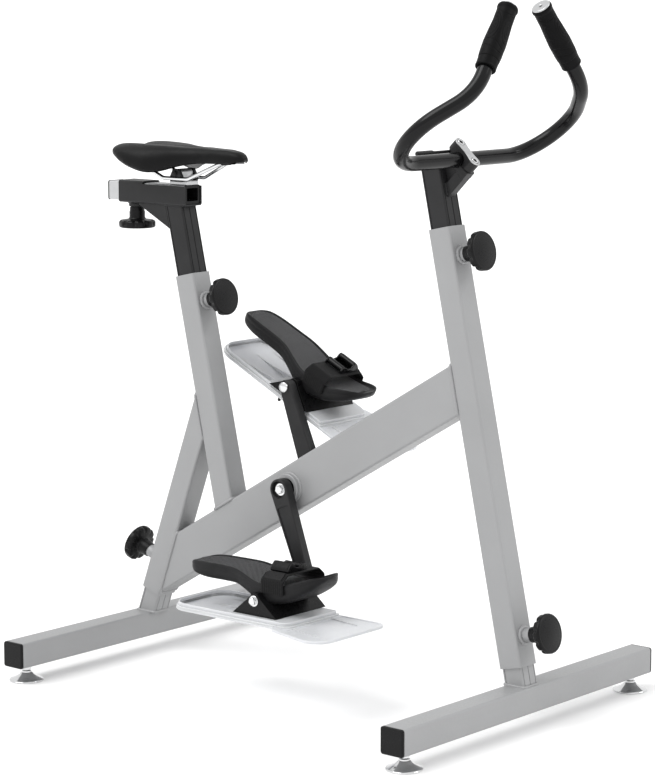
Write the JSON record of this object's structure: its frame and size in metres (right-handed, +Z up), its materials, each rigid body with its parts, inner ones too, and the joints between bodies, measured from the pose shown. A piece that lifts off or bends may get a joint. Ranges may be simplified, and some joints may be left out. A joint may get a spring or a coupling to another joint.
{
  "type": "pool exercise bike",
  "caption": "Stationary bike for use in a swimming pool, with a sloping beam frame, strapped foot pedals with water-resistance fins, an adjustable saddle and a bent handlebar.",
  "frame": {"origin": "on the floor under the middle of the bike", "axes": "+X towards the handlebar end, +Y to the rider's left, +Z up"},
  "size_m": [0.9872, 0.6936, 1.1867],
  "materials": {
    "frame_grey": "light silver-grey satin powder coat",
    "black_paint": "satin black coating",
    "gloss_black": "glossy black coating",
    "black_plastic": "matte black moulding",
    "black_rubber": "matte black rubber",
    "black_webbing": "black woven webbing",
    "grey_mesh": "dark grey meshed lining",
    "white_plastic": "white moulded plastic, faintly translucent",
    "saddle_black": "black synthetic leather over foam",
    "polished_steel": "polished stainless steel",
    "bright_metal": "satin aluminium"
  },
  "bodies": {
    "frame": {"front_column": "frame_grey", "main_beam": "frame_grey", "seat_tube": "frame_grey", "rear_strut": "frame_grey", "crank_shell": "frame_grey", "axle_bushing": "black_plastic"},
    "front_base": {"front_floor_bar": "frame_grey", "front_end_cap_left": "black_plastic", "front_end_cap_right": "black_plastic"},
    "rear_base": {"rear_floor_bar": "frame_grey", "rear_end_cap_left": "black_plastic", "rear_end_cap_right": "black_plastic"},
    "front_left_foot": {"front_foot_left": "polished_steel"},
    "front_right_foot": {"front_foot_right": "polished_steel"},
    "rear_left_foot": {"rear_foot_left": "polished_steel"},
    "rear_right_foot": {"rear_foot_right": "polished_steel"},
    "post": {"handlebar_post": "black_paint", "handlebar_stem": "black_paint", "stem_clamp_cap": "bright_metal", "clamp_bolt_lower": "polished_steel", "clamp_bolt_upper": "polished_steel"},
    "lever": {"clamp_lever": "black_paint"},
    "bar": {"handlebar": "gloss_black", "grip_left": "black_rubber", "grip_right": "black_rubber", "bar_plug_left": "bright_metal", "bar_plug_right": "bright_metal"},
    "seat_mast": {"seat_post": "black_paint", "seat_sleeve": "black_paint"},
    "slider": {"saddle_slider": "bright_metal", "slider_end_cap": "black_plastic", "saddle_carriage": "bright_metal"},
    "saddle": {"saddle_clamp": "black_paint", "saddle_rails": "polished_steel", "saddle_shell": "black_plastic", "saddle_cover": "saddle_black"},
    "bar_height_knob": {"knob_handlebar_height": "black_plastic"},
    "front_leg_knob": {"knob_front_leg": "black_plastic"},
    "rear_leg_knob": {"knob_rear_leg": "black_plastic"},
    "seat_height_knob": {"knob_seat_height": "black_plastic"},
    "saddle_slide_knob": {"knob_saddle_slide": "black_plastic"},
    "crank": {"crank_axle": "polished_steel", "crank_left": "black_paint", "crank_right": "black_paint", "crank_bolt_left": "polished_steel", "crank_bolt_right": "polished_steel", "pedal_spindle_left": "polished_steel", "pedal_spindle_right": "polished_steel"},
    "pedal_left": {"pedal_bracket_left": "black_plastic", "footbed_left": "black_rubber", "footbed_lining_left": "grey_mesh", "pedal_strap_left": "black_webbing", "resistance_fin_left": "white_plastic"},
    "buckle_left": {"strap_buckle_left": "black_plastic"},
    "pedal_right": {"pedal_bracket_right": "black_plastic", "footbed_right": "black_rubber", "footbed_lining_right": "grey_mesh", "pedal_strap_right": "black_webbing", "resistance_fin_right": "white_plastic"},
    "buckle_right": {"strap_buckle_right": "black_plastic"}
  },
  "joints": [
    {"name": "front_leg_slide", "type": "slide", "parent": "frame", "child": "front_base", "axis": [0.2113, 0, -0.9774], "range_m": [-0.02, 0.14]},
    {"name": "rear_leg_slide", "type": "slide", "parent": "frame", "child": "rear_base", "axis": [-0.3453, 0, -0.9385], "range_m": [-0.025, 0.12]},
    {"name": "front_left_foot_screw", "type": "slide", "parent": "front_base", "child": "front_left_foot", "axis": [0, 0, -1], "range_m": [0, 0.012]},
    {"name": "front_right_foot_screw", "type": "slide", "parent": "front_base", "child": "front_right_foot", "axis": [0, 0, -1], "range_m": [0, 0.012]},
    {"name": "rear_left_foot_screw", "type": "slide", "parent": "rear_base", "child": "rear_left_foot", "axis": [0, 0, -1], "range_m": [0, 0.012]},
    {"name": "rear_right_foot_screw", "type": "slide", "parent": "rear_base", "child": "rear_right_foot", "axis": [0, 0, -1], "range_m": [0, 0.012]},
    {"name": "handlebar_height", "type": "slide", "parent": "frame", "child": "post", "axis": [-0.2113, 0, 0.9774], "range_m": [-0.045, 0.12]},
    {"name": "handlebar_tilt", "type": "hinge", "parent": "post", "child": "bar", "pos_m": [0.29613, 0, 0.92898], "axis": [0, 1, 0], "range_deg": [-20, 20]},
    {"name": "clamp_lever_turn", "type": "hinge", "parent": "post", "child": "lever", "pos_m": [0.28178, 0, 0.94333], "axis": [-0.7071, 0, -0.7071], "range_deg": [0, 90]},
    {"name": "seat_height", "type": "slide", "parent": "frame", "child": "seat_mast", "axis": [-0.2193, 0, 0.9756], "range_m": [-0.07, 0.12]},
    {"name": "saddle_fore_aft", "type": "slide", "parent": "seat_mast", "child": "slider", "axis": [1, 0, 0], "range_m": [-0.05, 0.02]},
    {"name": "saddle_tilt", "type": "hinge", "parent": "slider", "child": "saddle", "pos_m": [-0.32233, 0, 0.8792], "axis": [0, 1, 0], "range_deg": [-8, 8]},
    {"name": "bar_height_knob_turn", "type": "hinge", "parent": "frame", "child": "bar_height_knob", "pos_m": [0.31841, 0, 0.77767], "axis": [0.9774, 0, 0.2113], "continuous": true},
    {"name": "front_leg_knob_turn", "type": "hinge", "parent": "frame", "child": "front_leg_knob", "pos_m": [0.45881, 0, 0.16142], "axis": [0.9774, 0, 0.2113], "continuous": true},
    {"name": "rear_leg_knob_turn", "type": "hinge", "parent": "frame", "child": "rear_leg_knob", "pos_m": [-0.422, 0, 0.18559], "axis": [-0.9385, 0, 0.3453], "continuous": true},
    {"name": "seat_height_knob_turn", "type": "hinge", "parent": "frame", "child": "seat_height_knob", "pos_m": [-0.2502, 0, 0.65978], "axis": [0.9756, 0, 0.2193], "continuous": true},
    {"name": "saddle_slide_knob_turn", "type": "hinge", "parent": "seat_mast", "child": "saddle_slide_knob", "pos_m": [-0.43883, 0, 0.8035], "axis": [0, 0, -1], "continuous": true},
    {"name": "crank_spin", "type": "hinge", "parent": "frame", "child": "crank", "pos_m": [-0.05534, 0, 0.34636], "axis": [0, 1, 0], "continuous": true},
    {"name": "pedal_left_spin", "type": "hinge", "parent": "crank", "child": "pedal_left", "pos_m": [-0.11806, 0.122, 0.50974], "axis": [0, 1, 0], "continuous": true},
    {"name": "pedal_right_spin", "type": "hinge", "parent": "crank", "child": "pedal_right", "pos_m": [0.00737, -0.122, 0.18298], "axis": [0, 1, 0], "continuous": true},
    {"name": "buckle_left_open", "type": "hinge", "parent": "pedal_left", "child": "buckle_left", "pos_m": [-0.06805, 0.154, 0.54263], "axis": [-0.8942, 0, 0.4478], "range_deg": [0, 90]},
    {"name": "buckle_right_open", "type": "hinge", "parent": "pedal_right", "child": "buckle_right", "pos_m": [0.03737, -0.154, 0.23478], "axis": [1, 0, 0], "range_deg": [0, 90]}
  ]
}
